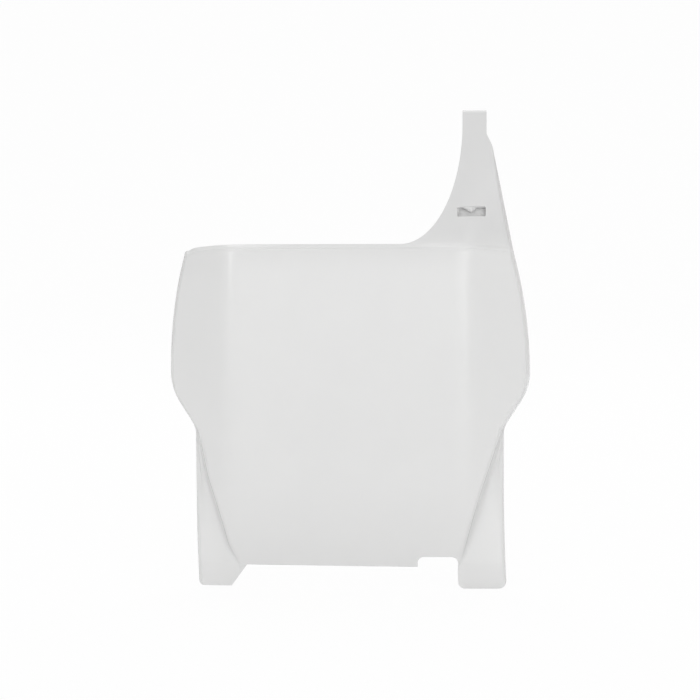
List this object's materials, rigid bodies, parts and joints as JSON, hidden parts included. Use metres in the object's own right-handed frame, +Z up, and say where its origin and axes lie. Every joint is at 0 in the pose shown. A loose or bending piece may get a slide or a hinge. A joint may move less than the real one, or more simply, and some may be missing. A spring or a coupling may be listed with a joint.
{
  "type": "motorcycle front number board",
  "caption": "Moulded white plastic front number board with bent-back wings, a flanged edge, flat mounting legs and a strap arm that folds over at the top.",
  "frame": {"origin": "centre of the flat number field, on its front face", "axes": "-Y out of the number field towards the viewer, +Z up along the board towards the strap, +X towards the side that carries the arm"},
  "size_m": [0.252, 0.0423, 0.3325],
  "materials": {
    "white_plastic": "gloss"
  },
  "bodies": {
    "root": {"number_board": "white_plastic"}
  },
  "joints": []
}
